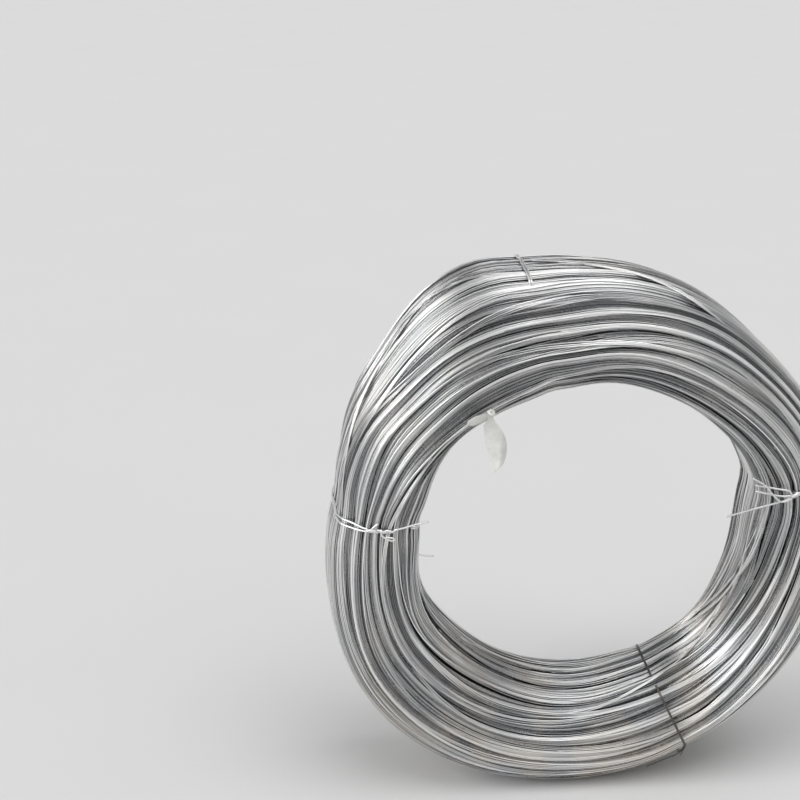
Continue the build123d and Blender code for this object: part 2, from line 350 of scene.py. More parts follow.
# The leaf's fold: depth, width and place to +X in mm, and its lean by mm down. The leaf rolls back by a share
# of the squared distance from its middle
FOLD_DEPTH = 1.6
FOLD_WIDTH = 2.4
FOLD_PLACE = 14.5
FOLD_LEAN = 0.05
ROLL_BACK = 0.020
ROLL_MIDDLE = 7.0

# Vertices within this height of the lowest, in metres, are in its row
ROW_TOLERANCE = 0.00005

# The lamps: name, direction they shine from, width in degrees and the setting that gives their strength
LAMPS = (
    ("key", (-0.83, -0.30, 0.45), 40, "key"),
    ("overhead", (0.15, -0.25, 1.0), 44, "top"),
    ("fill", (0.62, -0.35, 0.72), 60, "fill"),
)
# The side of the square floor in metres
FLOOR_SIZE = 120

# The camera as it was fitted to the photograph, in mm, metres and degrees
CAMERA_LENS = 72
CAMERA_PLACE = (-0.3367, -1.6496, 1.0355)
CAMERA_TURN = (70.86, 0, -4.67)


def metres(name, description, default):
    """Setting of a length in metres."""
    return bpy.props.FloatProperty(
        name=name, description=description, default=default, min=0.0005, unit="LENGTH"
    )


def tint(name, description, default):
    """Setting of a colour."""
    return bpy.props.FloatVectorProperty(
        name=name, description=description, default=default, subtype="COLOR"
    )


def brightness(name, description, default, most=10):
    """Setting of a brightness or a lamp's strength."""
    return bpy.props.FloatProperty(name=name, description=description, default=default, min=0, max=most)


class CoilSizes(bpy.types.PropertyGroup):
    """Sizes of the wire and the tag."""

    wire: metres("Wire", "Diameter of the coiled wire", 0.0016)
    tie: metres("Tie wire", "Diameter of the tie wire", 0.0021)
    tag_thickness: metres("Tag sheet", "Thickness of the tag's sheet", 0.0006)
    strays: bpy.props.IntProperty(
        name="Stray turns", description="Single turns that wander over the lays", default=45, min=0
    )
    seed: bpy.props.IntProperty(name="Seed", description="Start of the random drift", default=11)

    def wound(self):
        """The bundle as these sizes give it."""
        return wind_bundle(self.wire / MM / 2, self.strays, self.seed)


class CoilColours(bpy.types.PropertyGroup):
    """Colours of the wire, the ties and the tag."""

    zinc_light: tint("Light zinc", "Bright turns", (0.96, 0.96, 0.96))
    zinc_dark: tint("Dull zinc", "Dull turns", (0.31, 0.315, 0.325))
    # The warm colour is partly a coat in patches and, low in the bore, a painted reflection of a warm floor
    warm: tint("Warm film", "Film low in the bore", (0.82, 0.74, 0.64))
    tie: tint("Tie zinc", "Bright tie wire", (0.86, 0.86, 0.86))
    tie_dark: tint("Dark tie", "Dark tie wire", (0.15, 0.14, 0.13))
    tag: tint("Tag", "Off-white sheet of the tag", (0.80, 0.80, 0.77))


class CoilStage(bpy.types.PropertyGroup):
    """Floor, lamps and surroundings."""

    floor: tint("Floor", "Colour of the floor", (0.66, 0.66, 0.66))
    key: brightness("Key lamp", "Strength of the wide lamp at the upper left", 2.0)
    top: brightness("Top lamp", "Strength of the wide lamp overhead", 1.0)
    fill: brightness("Fill lamp", "Strength of the widest lamp, at the upper right", 0.45)
    horizon: brightness("Horizon", "Brightness at the horizon", 0.72, 1)
    wall: brightness("Wall", "Brightness above the horizon", 0.05, 1)
    ceiling: brightness("Ceiling", "Brightness overhead", 0.5, 1)


class Socket:
    """Output of a node, so that shader maths on values reads as arithmetic."""

    def __init__(self, work, socket):
        self.work = work
        self.socket = socket

    def _maths(self, operation, other):
        return self.work.out("ShaderNodeMath", 0, {"operation": operation}, {0: self, 1: other})

    def __add__(self, other):
        return self._maths("ADD", other)

    def __mul__(self, other):
        return self._maths("MULTIPLY", other)


class NodeWork:
    """A node tree whose nodes are added one by one."""

    def __init__(self, tree):
        self.tree = tree
        self.tree.nodes.clear()

    def node(self, kind, settings=None, values=None):
        """Adds a node, sets its settings, then its sockets' values or links."""
        node = self.tree.nodes.new(kind)
        for name, value in (settings or {}).items():
            if name == "stops":
                self._set_stops(node.color_ramp, value)
            else:
                setattr(node, name, value)
        for name, value in (values or {}).items():
            if isinstance(value, Socket):
                self.tree.links.new(value.socket, node.inputs[name])
            else:
                node.inputs[name].default_value = value
        return node

    def out(self, kind, output, settings=None, values=None):
        """Adds a node and gives one of its outputs."""
        return Socket(self, self.node(kind, settings, values).outputs[output])

    def _set_stops(self, ramp, stops):
        while len(ramp.elements) < len(stops):
            ramp.elements.new(0.5)
        for element, (position, value) in zip(ramp.elements, stops):
            element.position = position
            element.color = (value, value, value, 1)

    def ramp(self, value, *stops):
        """Grey ramp of a value."""
        return self.out("ShaderNodeValToRGB", 0, {"stops": stops}, {0: value})

    def mix(self, share, first, second):
        """Colour between two colours."""
        colours = [c if isinstance(c, Socket) else (*c, 1) for c in (first, second)]
        values = {0: share, 6: colours[0], 7: colours[1]}
        return self.out("ShaderNodeMix", 2, {"data_type": "RGBA"}, values)

    def noise(self, vector, scale, detail=2.0, roughness=0.5):
        """Noise between 0 and 1 at a vector."""
        values = {"Vector": vector, "Scale": scale, "Detail": detail, "Roughness": roughness}
        return self.out("ShaderNodeTexNoise", 0, None, values)

    def attribute(self, name):
        """A mesh attribute of one value."""
        return self.out("ShaderNodeAttribute", "Fac", {"attribute_name": name})

    def bump(self, strength, distance, height):
        """Normal that a height bends, over a distance in metres."""
        values = {"Strength": strength, "Distance": distance, "Height": height}
        return self.out("ShaderNodeBump", 0, None, values)


class Finish(NodeWork):
    """Procedural material."""

    def __init__(self, name):
        self.material = bpy.data.materials.new(name)
        self.material.use_nodes = True
        super().__init__(self.material.node_tree)

    def place(self):
        """The piece's own coordinates."""
        return self.out("ShaderNodeTexCoord", "Object")

    def surface(self, **values):
        """Ends the material with a Principled surface."""
        named = {name.replace("_", " "): value for name, value in values.items()}
        shader = self.out("ShaderNodeBsdfPrincipled", 0, None, named)
        self.node("ShaderNodeOutputMaterial", None, {"Surface": shader})
        return self.material


def dimmed(share, colour):
    """A colour made darker."""
    return [share * value for value in colour]


def galvanized_finish(colours):
    """Zinc-coated wire: dull and bright turns, faint streaks along it and a warm tint in patches, painted
    reflection low in the bore.
    """
    finish = Finish("galvanized wire")
    turn = finish.attribute("turn_tone")
    run = finish.out("ShaderNodeUVMap", "UV", {"uv_map": "wire_run"})
    stretched = finish.out("ShaderNodeMapping", 0, None, {"Vector": run, "Scale": (9.0, 60.0, 1.0)})
    place = finish.place()
    x, z = (finish.out("ShaderNodeSeparateXYZ", axis, None, {0: place}) for axis in (0, 2))
    across = finish.out("ShaderNodeSeparateXYZ", 1, None, {0: run})
    bands_at = finish.out("ShaderNodeCombineXYZ", 0, None, {0: x * 5.0, 1: across * 75.0, 2: z * 5.0})
    bands = finish.noise(bands_at, 1.0, 3.0, 0.55)
    streaks = finish.noise(stretched, 1.0, 3.0, 0.6)
    patches = finish.noise(place, 14.0, 3.0, 0.55)
    spangle = finish.noise(place, 420.0, 2.0, 0.6)
    tone = turn * 0.6 + bands * 0.6 + patches * 0.2 + streaks * 0.08 + spangle * 0.03
    shine = finish.ramp(tone, (0.40, 0.0), (0.98, 1.0))
    zinc = finish.mix(shine, colours.zinc_dark, colours.zinc_light)
    # Warm tint: a light coat in patches everywhere, and a painted reflection of a warm floor that grows
    # towards the bottom
    low = finish.ramp(z, (0.06, 1.0), (0.26, 0.0))
    film_and_reflection = (low * 0.4 + 0.1) * finish.ramp(patches, (0.42, 0.0), (0.66, 1.0))
    base = finish.mix(film_and_reflection, zinc, colours.warm)
    rough = finish.ramp(streaks * 0.5 + spangle * 0.2 + turn * 0.3, (0.25, 0.24), (0.75, 0.38))
    bump = finish.bump(0.12, 0.0002, streaks + spangle * 0.3)
    return finish.surface(Base_Color=base, Metallic=1.0, Roughness=rough, Normal=bump)


def tie_finish(colours):
    """Zinc-coated tie wire, bright on three ties and dark on the lowest."""
    finish = Finish("tie wire")
    place = finish.place()
    bright = finish.attribute("turn_tone")
    patches = finish.noise(place, 90.0, 3.0, 0.6)
    spangle = finish.noise(place, 600.0, 2.0, 0.6)
    share = finish.ramp(bright * 0.8 + patches * 0.25 + spangle * 0.15, (0.25, 0.0), (0.9, 1.0))
    base = finish.mix(share, colours.tie_dark, colours.tie)
    rough = finish.ramp(patches, (0.3, 0.30), (0.7, 0.45))
    bump = finish.bump(0.2, 0.0002, spangle)
    return finish.surface(Base_Color=base, Metallic=0.9, Roughness=rough, Normal=bump)


def tag_finish(colours):
    """Soft off-white sheet, creased and a little soiled."""
    finish = Finish("tag sheet")
    place = finish.place()
    clouds = finish.noise(place, 60.0, 4.0, 0.6)
    fibre = finish.noise(place, 900.0, 2.0, 0.7)
    wave = {"Vector": place, "Scale": 26.0, "Distortion": 7.0, "Detail": 3.0}
    creases = finish.out("ShaderNodeTexWave", 0, None, wave)
    base = finish.mix(finish.ramp(clouds, (0.35, 0.0), (0.65, 1.0)), dimmed(0.80, colours.tag), colours.tag)
    bump = finish.bump(0.5, 0.0006, creases * 0.7 + fibre * 0.3)
    rough = finish.ramp(clouds, (0.3, 0.5), (0.7, 0.68))
    return finish.surface(Base_Color=base, Roughness=rough, Normal=bump)


def core_finish(colours):
    """Inner turns seen only in the gaps: zinc painted near black as shade between the turns."""
    finish = Finish("inner turns")
    patches = finish.noise(finish.place(), 40.0, 3.0, 0.6)
    # Painted shade: the inner turns are the dull zinc darkened to near black
    base = finish.mix(patches, dimmed(0.12, colours.zinc_dark), dimmed(0.22, colours.zinc_dark))
    rough = finish.ramp(patches, (0.3, 0.5), (0.7, 0.7))
    return finish.surface(Base_Color=base, Metallic=0.8, Roughness=rough)


def floor_finish(colour):
    """Plain matt floor."""
    finish = Finish("floor")
    cloud = finish.noise(finish.place(), 3.0, 2.0)
    return finish.surface(Base_Color=finish.mix(cloud, dimmed(0.97, colour), colour), Roughness=0.9)


FINISHES = {
    "galvanized wire": galvanized_finish,
    "inner turns": core_finish,
    "tie wire": tie_finish,
    "tag sheet": tag_finish,
}


def finish_piece(piece, finish, slot, *nodes):
    """Gives a piece its material, made the first time, and its place in the frame."""
    material = bpy.data.materials.get(finish) or FINISHES[finish](bpy.context.scene.coil_colours)
    piece.data.materials.clear()
    piece.data.materials.append(material)
    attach(piece, BODY)
    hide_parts(*nodes)


def outline_table():
    """The section's outline at close steps: distance, radius, axial place and outward normal."""
    inner = BORE_RADIUS + CORNER_RADIUS
    outer = OUTER_RADIUS - CORNER_RADIUS
    rear = COIL_WIDTH / 2 - CORNER_RADIUS
    corners = (
        (inner, -rear, 180, FACE_FLAT), (outer, -rear, 270, LAND_LENGTH),
        (outer, rear, 0, FACE_FLAT), (inner, rear, 90, LAND_LENGTH),
    )
    parts = []
    for radius, y, first, length in corners:
        turn = np.append(np.linspace(0, 90, CORNER_STEPS, endpoint=False), np.full(FLAT_STEPS, 90))
        along = np.append(np.zeros(CORNER_STEPS), np.linspace(0, length, FLAT_STEPS, endpoint=False))
        nr, ny = np.cos(np.radians(first + turn)), np.sin(np.radians(first + turn))
        parts.append((radius + CORNER_RADIUS * nr - along * ny, y + CORNER_RADIUS * ny + along * nr, nr, ny))
    radius, y, nr, ny = (np.concatenate(column) for column in zip(*parts))
    gaps = np.hypot(np.diff(radius, append=radius[:1]), np.diff(y, append=y[:1]))
    distance = np.concatenate([[0], np.cumsum(gaps)[:-1]]) * OUTLINE_LENGTH / gaps.sum()
    return distance, radius, y, nr, ny


OUTLINE = outline_table()


def on_outline(distance):
    """Radius, axial place and outward normal at distances on the outline."""
    return [np.interp(distance, OUTLINE[0], column, period=OUTLINE_LENGTH) for column in OUTLINE[1:]]


def wrapped(distance, start):
    """Distances brought into the one round of the outline that begins at the start."""
    return (distance - start) % OUTLINE_LENGTH + start


def loop_curve(points, blur):
    """Smooth closed curve through values by clock angle, as a function of the angle in radians."""
    clocks, values = zip(*sorted(points.items()))
    fine = np.arange(0, 360, CURVE_STEP)
    line = np.interp(fine, clocks, values, period=360)
    reach = np.arange(-CURVE_REACH, CURVE_REACH + 1)
    weights = np.exp(-((reach * CURVE_STEP / blur) ** 2))
    smooth = sum(weight * np.roll(line, -steps) for weight, steps in zip(weights, reach)) / weights.sum()
    return lambda angle: np.interp(np.degrees(angle), fine, smooth, period=360)


RIM = loop_curve(RIM_BY_CLOCK, RING_BLUR)
BORE = loop_curve(BORE_BY_CLOCK, RING_BLUR)


def pinch(angle):
    """How deep the ties pull the bundle in at a clock angle."""
    depth = 0.0
    for clock, most, half in PINCHES:
        apart = (np.degrees(angle) - clock + 180) % 360 - 180
        depth = depth + most * np.exp(-((apart / half) ** 2))
    return depth


def bent_radius(radius, angle):
    """A radius of the round coil on the coil as it is out of round."""
    share = (radius - BORE_RADIUS) / (OUTER_RADIUS - BORE_RADIUS)
    inner = BORE(angle)
    return inner + (RIM(angle) - inner) * share


def drift(rng, waves, amount, angle=ANGLES):
    """Smooth random drift round the coil, with a largest swing of about the amount."""
    total = np.zeros_like(angle)
    for wave in waves:
        total += rng.normal() / math.sqrt(wave) * np.sin(wave * angle + rng.uniform(0, 2 * math.pi))
    return amount * total / math.sqrt(len(waves))


def waver(wavers, done, phases):
    """How far a turn wavers beside its way when so many turns are done."""
    turned = 2 * math.pi * done
    return sum(amount * np.sin(waves * turned + phase) for (amount, waves), phase in zip(wavers, phases))


def to_end(count):
    """Stations from each place of a stretch to its nearer end."""
    steps = np.arange(count)
    return np.minimum(steps, steps[::-1])


def dive(steps, kind):
    """How deep a wire goes down at so many stations from its end."""
    stations, depth = kind
    return depth * np.clip(1 - steps / stations, 0, 1) ** 2


def taut(heights, passes=9):
    """A wire pulled over what lies under it: it spans the hollows and doesn't sink into the crests."""
    line = heights.copy()
    for _ in range(passes):
        ends = np.concatenate([line[:1], line, line[-1:]])
        line = np.maximum(heights, (ends[:-2] + ends[2:]) / 2)
    for _ in range(2):
        ends = np.concatenate([line[:1], line, line[-1:]])
        line = (ends[:-2] + 2 * line + ends[2:]) / 4
    return line


class Winding:
    """The bundle as far as it is wound: heights over the outline, and the runs of wire laid and seen."""

    def __init__(self, wire_radius, seed):
        self.radius = wire_radius
        self.pitch = 2.0 * wire_radius
        self.rng = np.random.default_rng(seed)
        self.heights = np.full((STATIONS, CELLS), -CORE_DEPTH)
        self.runs = []
        self.seen = []
        self.raised = 0.0
        nr, ny = on_outline((np.arange(CELLS) + 0.5) * CELL)[2:]
        squeeze = (RIM(ANGLES) - BORE(ANGLES)) / (OUTER_RADIUS - BORE_RADIUS)
        self.stretch = np.sqrt(nr**2 + (ny * squeeze[:, None]) ** 2)
        self.reach = math.ceil(self.radius / CELL / LEAST_STRETCH) + 1

    def _under(self, stations, distance):
        """The rows and cells that a wire covers, and how far it rises over its middle line there."""
        column = np.floor(distance / CELL).astype(int)
        cells = column[:, None] + np.arange(-self.reach, self.reach + 1)
        across = (cells + 0.5) * CELL - distance[:, None]
        cells = cells % CELLS
        rows = (stations % STATIONS)[:, None]
        across = across * self.stretch[rows, cells]
        return rows, cells, np.sqrt(np.clip(self.radius**2 - across**2, 0, None))

    def _resting(self, below, rows, cells, dome):
        """Heights of a middle line that rests on what is below."""
        return np.where(dome > 0, below[rows, cells] + dome, -NOWHERE).max(1)

    def lay(self, stations, distance, below, sink, start=None):
        """Lays one stretch of wire on the heights below it, and gives the heights of its middle line."""
        rows, cells, dome = self._under(stations, distance)
        line = taut(self._resting(below, rows, cells, dome)) - sink
        if start is not None:
            fade = np.clip(1 - np.arange(len(line)) / JOIN_STATIONS, 0, 1)
            line = line + (start - line[0]) * fade**2 * (3 - 2 * fade)
        top = np.where(dome > 0, line[:, None] + dome, -NOWHERE)
        self.heights[rows, cells] = np.maximum(self.heights[rows, cells], top)
        return line

    def lay_short(self, stations, distance, below, sink, tone):
        """Lays one stretch and keeps it as a run of its own."""
        self.runs.append((stations, distance, self.lay(stations, distance, below, sink), tone))

    def height_under(self, distance):
        """How high a turn on this way would lie, with its crests counted more."""
        rest = self._resting(self.heights, *self._under(np.arange(STATIONS), distance))
        return rest.mean() + rest.max()

    def place(self, angle, distance, height):
        """Row place in mm of a height over the outline, on the coil as it is out of round."""
        radius, y, nr, ny = on_outline(distance)
        over = height - pinch(angle)
        radius = bent_radius(radius + nr * over, angle)
        x = radius * np.cos(angle)
        z = COIL_MIDDLE.z / MM + self.raised + radius * np.sin(angle)
        return np.stack([x, y + ny * over + COIL_MIDDLE.y / MM + 0 * x, z], -1)

    def level(self, angle, distance):
        """Height of the bundle at a clock angle and a distance."""
        return self.heights[round(angle / STATION_ANGLE) % STATIONS, int(distance / CELL) % CELLS]

    def wind(self, first, turns, way, tone):
        """Winds a row of whole turns from a station on. The way gives distances for stations and turns."""
        below = self.heights.copy()
        block = np.arange(STATIONS)
        parts = []
        for turn in range(turns):
            stations = first + turn * STATIONS + block
            distance = way(stations, turn + block / STATIONS)
            sink = dive(block, ROW_DIVE) * (turn == 0) + dive(block[::-1], ROW_DIVE) * (turn == turns - 1)
            start = parts[-1][2][-1] if parts else None
            parts.append((stations, distance, self.lay(stations, distance, below, sink, start)))
        self.runs.append((*map(np.concatenate, zip(*parts)), tone))

    def cross(self, count, points):
        """Lays short stretches side by side over the lays. Their ends dive between the turns."""
        clocks, way = np.array(list(points.items()), float).T
        stations = np.arange(int(clocks[0] / STATION_DEGREES), int(clocks[-1] / STATION_DEGREES) + 1)
        line = np.interp(stations * STATION_DEGREES, clocks, way)
        for _ in range(3):
            line[1:-1] = (line[:-2] + 2 * line[1:-1] + line[2:]) / 4
        angle = stations * STATION_ANGLE
        fan = 1 + drift(self.rng, (2, 3), 0.25, angle)
        below = self.heights.copy()
        for index in range(count):
            sink = dive(to_end(len(stations)) - self.rng.integers(0, 3), CROSSING_DIVE)
            beside = (index - (count - 1) / 2) * self.pitch * fan
            distance = line + beside + drift(self.rng, (4, 7), 0.3, angle)
            self.lay_short(stations, distance, below, sink, self.rng.uniform(0.4, 1.0))

    def keep_seen(self):
        """Keeps the stretches that show, with their tones and the stations that the wire ran before them."""
        shifts = range(-CREST_REACH, CREST_REACH + 1)
        crests = np.max([np.roll(self.heights, shift, 1) for shift in shifts], axis=0)
        before = 0.0
        for stations, distance, line, tone in self.runs:
            rows, cells, dome = self._under(stations, distance)
            over = np.where(dome > 0, self.heights[rows, cells] - line[:, None] - dome, NOWHERE).min(1)
            bare = over < SEEN_UNDER
            kept = np.convolve(bare, np.ones(2 * SEEN_MARGIN + 1), "same") > 0
            edges = np.flatnonzero(np.diff(np.concatenate([[0], kept.astype(int), [0]])))
            for start, stop in zip(edges[::2], edges[1::2]):
                if stop - start >= SHORTEST_SEEN and bare[start:stop].sum() >= 2:
                    part = slice(start, stop)
                    sunk = crests[rows[part, 0], cells[part, self.reach]] - line[part] - self.radius
                    shade = tone + self.rng.uniform(-TONE_SPREAD, TONE_SPREAD)
                    # Painted shade: the deeper the wire lies under the crests near it, the darker its tone
                    shade = shade - HOLLOW_PAINTED_SHADE * np.clip(sunk - HOLLOW_START, 0, 5)
                    self.seen.append((stations[part], distance[part], line[part], shade, before + start))
            before += len(stations)

    def raise_to_floor(self):
        """Raises the coil so that its lowest turn rests on the floor."""
        lowest = min(self.place(run[0] * STATION_ANGLE, run[1], run[2])[:, 2].min() for run in self.seen)
        self.raised = self.radius - lowest


def crease_loops(rng):
    """Distances of all creases at the stations, in order round the whole outline."""
    loops = [loop_curve(points, CREASE_BLUR)(ANGLES) for points in CREASES]
    last, first = loops[-1], loops[0] + OUTLINE_LENGTH
    for index in range(1, REAR_LAYS):
        share = index / REAR_LAYS
        loops.append((1 - share) * last + share * first + drift(rng, (1, 2, 3), 4.5))
    return [*loops, first]


def wind_row(winding, lay, edge, turns, tone):
    """Winds one row of a lay, which leaves the lay's edges free."""
    rng = winding.rng
    low, width, near, far = lay
    sway = drift(rng, (2, 3, 5), 0.3 * edge)
    forward = rng.random() < 0.5
    phases = rng.uniform(0, 2 * math.pi, len(ROW_WAVERS))

    def way(at, done):
        share = done / turns if forward else 1 - done / turns
        here = at % STATIONS
        first, last = edge * near[here], 1 - edge * far[here]
        share = np.clip(first + (last - first) * share + sway[here], 0.01, 0.99)
        return low[here] + width[here] * share + waver(ROW_WAVERS, done, phases)

    winding.wind(int(rng.integers(STATIONS)), turns, way, 0.5 * (tone + rng.random()))


def wind_on_lay(winding, lay):
    """Winds a few turns side by side on a lay. Of some ways it takes the lowest."""
    rng = winding.rng
    low, width = lay[:2]
    turns = int(rng.integers(2, 6))
    tries = [np.clip(rng.uniform(0, 1) + drift(rng, (1, 2, 3, 4), 0.35), 0.15, 0.85) for _ in range(6)]
    centre = min(tries, key=lambda share: winding.height_under(low + width * share))
    forward = 1 if rng.random() < 0.5 else -1
    phases = rng.uniform(0, 2 * math.pi, len(BUNDLE_WAVERS))

    def way(at, done):
        here = at % STATIONS
        beside = forward * (done - turns / 2) * winding.pitch
        return low[here] + width[here] * centre[here] + beside + waver(BUNDLE_WAVERS, done, phases)

    winding.wind(int(rng.integers(STATIONS)), turns, way, rng.random())


def lay_stray(winding, lays):
    """Lays one stretch of wire that wanders over a lay."""
    rng = winding.rng
    first = int(rng.integers(STATIONS))
    length = int(rng.integers(*STRAY_STATIONS))
    low, width = lays[int(rng.integers(len(lays)))][:2]
    stations = first + np.arange(length)
    here = stations % STATIONS
    share = rng.uniform(0.1, 0.9) + (np.arange(length) / length - 0.5) * rng.uniform(-1.1, 1.1)
    distance = low[here] + width[here] * share
    winding.lay_short(stations, distance, winding.heights, dive(to_end(length), STRAY_DIVE), rng.random())


@functools.lru_cache(maxsize=1)
def wind_bundle(wire_radius, strays, seed):
    """Winds an under row, the lays between the creases, bundles on them, crossings and strays."""
    winding = Winding(wire_radius, seed)
    rng = winding.rng
    loops = crease_loops(rng)
    gapes = [np.clip(1.2 + drift(rng, (1, 2, 3), 0.9), 0.05, 2.0) for _ in loops[:-1]]
    gapes.append(gapes[0])
    lean = drift(rng, (1, 2), 5.0)
    rows = int(OUTLINE_LENGTH / winding.pitch)
    # The under row shows only in the gaps between the lays, and its dark tone is painted shade there
    winding.wind(0, rows, lambda at, done: done * OUTLINE_LENGTH / rows + lean[at % STATIONS], UNDER_SHADE_TONE)

    lays = list(zip(loops[:-1], np.diff(loops, axis=0), gapes[:-1], gapes[1:]))
    tones = rng.random(len(lays))
    # Painted light and shade: the front lays take set tones, darker near the bore and brighter towards the
    # rim
    tones[: len(FRONT_LIGHT_AND_SHADE_TONES)] = FRONT_LIGHT_AND_SHADE_TONES
    for index in rng.permutation(len(lays)):
        count = max(5, int(np.percentile(lays[index][1], 60) / winding.pitch - 0.8))
        for edge in LAY_EDGES:
            wind_row(winding, lays[index], edge, max(3, int(count * (1.1 - 2 * edge))), tones[index])
    for index in rng.permutation(len(lays)):
        wind_on_lay(winding, lays[index])
    for count, points in CROSSINGS:
        winding.cross(count, points)
    for _ in range(strays):
        lay_stray(winding, lays)
    winding.keep_seen()
    winding.raise_to_floor()
    return winding


def unit(vectors):
    """Rows of vectors, each made one long."""
    return vectors / np.linalg.norm(vectors, axis=1)[:, None]


def tube_rings(points, radius, sides, outward=None):
    """Rings in metres of a tube along places in mm. Their first corner is on the outward side."""
    run = unit(np.gradient(points, axis=0))
    if outward is None:
        outward = np.empty_like(run)
        side = np.cross(run[0], FIRST_SIDE)
        for index, along in enumerate(run):
            side = side - along * side.dot(along)
            side /= np.linalg.norm(side)
            outward[index] = side
    outward = unit(outward - run * (outward * run).sum(1)[:, None])
    across = np.cross(run, outward)
    turn = 2 * math.pi * np.arange(sides)[:, None] / sides
    rings = outward[:, None] * np.cos(turn) + across[:, None] * np.sin(turn)
    return (points[:, None] + radius * rings) * MM


def even_run(line, step):
    """Places in the UV of a tube whose rings stand one step apart."""
    along = np.arange(len(line)) * step * MM
    return np.stack([along, 0 * along], 1)


def smooth_line(points, step):
    """Even places on a smooth curve through points, in mm."""
    points = np.asarray(points, float)
    padded = np.concatenate([2 * points[:1] - points[1:2], points, 2 * points[-1:] - points[-2:-1]])
    t = np.linspace(0, 1, 12, endpoint=False)[:, None]
    parts = []
    for a, b, c, d in zip(padded[:-3], padded[1:-2], padded[2:-1], padded[3:]):
        square = 2 * a - 5 * b + 4 * c - d
        parts.append(0.5 * (2 * b + (c - a) * t + square * t**2 + (3 * b - a - 3 * c + d) * t**3))
    dense = np.concatenate([*parts, points[-1:]])
    length = np.concatenate([[0], np.cumsum(np.linalg.norm(np.diff(dense, axis=0), axis=1))])
    even = np.linspace(0, length[-1], max(4, int(length[-1] / step)))
    return np.stack([np.interp(even, length, dense[:, axis]) for axis in range(3)], -1)


def tube_faces(count, sides):
    """Corners of a tube's faces, one after another, and how many each face has. Its caps come last."""
    ring = np.arange(count - 1)[:, None] * sides
    this = np.arange(sides)
    following = (this + 1) % sides
    quads = np.stack([ring + this, ring + following, ring + sides + following, ring + sides + this], -1)
    corners = np.concatenate([quads.ravel(), this[::-1], (count - 1) * sides + this])
    return corners, np.repeat([4, sides], [(count - 1) * sides, 2])


def add_object(name, data):
    """Adds an object of some data to the scene."""
    added = bpy.data.objects.new(name, data)
    bpy.context.scene.collection.objects.link(added)
    return added


def tube_mesh(name, tubes):
    """One piece of many capped tubes. Each is its rings in metres, its tones and its places in the UV."""
    places, corners, sizes, tones, uvs = [], [], [], [], []
    offset = 0
    for rings, tone, run in tubes:
        count, sides = rings.shape[:2]
        tube_corners, tube_sizes = tube_faces(count, sides)
        places.append(rings.reshape(-1, 3))
        corners.append(tube_corners + offset)
        sizes.append(tube_sizes)
        tones.append(np.repeat(np.broadcast_to(tone, count), sides))
        pairs = np.stack([run[:-1], run[:-1], run[1:], run[1:]], 1)
        uvs.append(pairs[:, None].repeat(sides, 1).reshape(-1, 2))
        uvs.append(run[[0, -1]].repeat(sides, 0))
        offset += count * sides
    corners = np.concatenate(corners)
    sizes = np.concatenate(sizes)
    mesh = bpy.data.meshes.new(name)
    mesh.vertices.add(offset)
    mesh.vertices.foreach_set("co", np.concatenate(places).ravel())
    mesh.loops.add(len(corners))
    mesh.loops.foreach_set("vertex_index", corners)
    mesh.polygons.add(len(sizes))
    mesh.polygons.foreach_set("loop_start", np.cumsum(sizes) - sizes)
    mesh.update(calc_edges=True)
    mesh.validate()
    mesh.shade_smooth()
    tone = mesh.attributes.new("turn_tone", "FLOAT", "POINT")
    tone.data.foreach_set("value", np.concatenate(tones))
    layer = mesh.uv_layers.new(name="wire_run")
    layer.data.foreach_set("uv", np.concatenate(uvs).ravel())
    return add_object(name, mesh)


def turn_tubes(winding):
    """The tubes of the seen turns, by the name of their piece."""
    groups = {name: [] for name in REGIONS}
    for stations, distance, line, tone, before in winding.seen:
        angle = stations * STATION_ANGLE
        middle = winding.place(angle, distance, line)
        outward = winding.place(angle, distance, line + 1.0) - middle
        along = (before + np.arange(len(line))) * STATION_ANGLE * OUTER_RADIUS * MM
        at = wrapped(distance.mean(), REGION_START)
        name = next(name for name, end in REGIONS.items() if at < end)
        rings = tube_rings(middle, winding.radius, TURN_SIDES, outward)
        groups[name].append((rings, tone, np.stack([along, distance * MM], 1)))
    return groups


def inner_end_tube(winding):
    """The tube of the wire's inner end."""
    clock, distance, over = np.array(INNER_END, float).T
    stations = np.round(clock / STATION_DEGREES).astype(int)
    under = winding.heights[stations, np.floor(distance / CELL).astype(int) % CELLS]
    height = under[:INNER_END_RESTS].mean() + over
    line = smooth_line(winding.place(np.radians(clock), distance, height), INNER_END_STEP)
    rings = tube_rings(line, winding.radius, TURN_SIDES)
    return rings, INNER_END_TONE, even_run(line, INNER_END_STEP)


class COIL_OT_turns(bpy.types.Operator):
    """Winds the turns of the coil as tubes, in one piece for each region of the outline"""

    bl_idname = "coil.turns"
    bl_label = "Turns"

    def execute(self, context):
        winding = context.scene.coil_sizes.wound()
        groups = turn_tubes(winding)
        groups["turns_bore"].append(inner_end_tube(winding))
        for name, tubes in groups.items():
            finish_piece(tube_mesh(name, tubes), "galvanized wire", "galvanized_wire", "wire_coil")
        return {"FINISHED"}


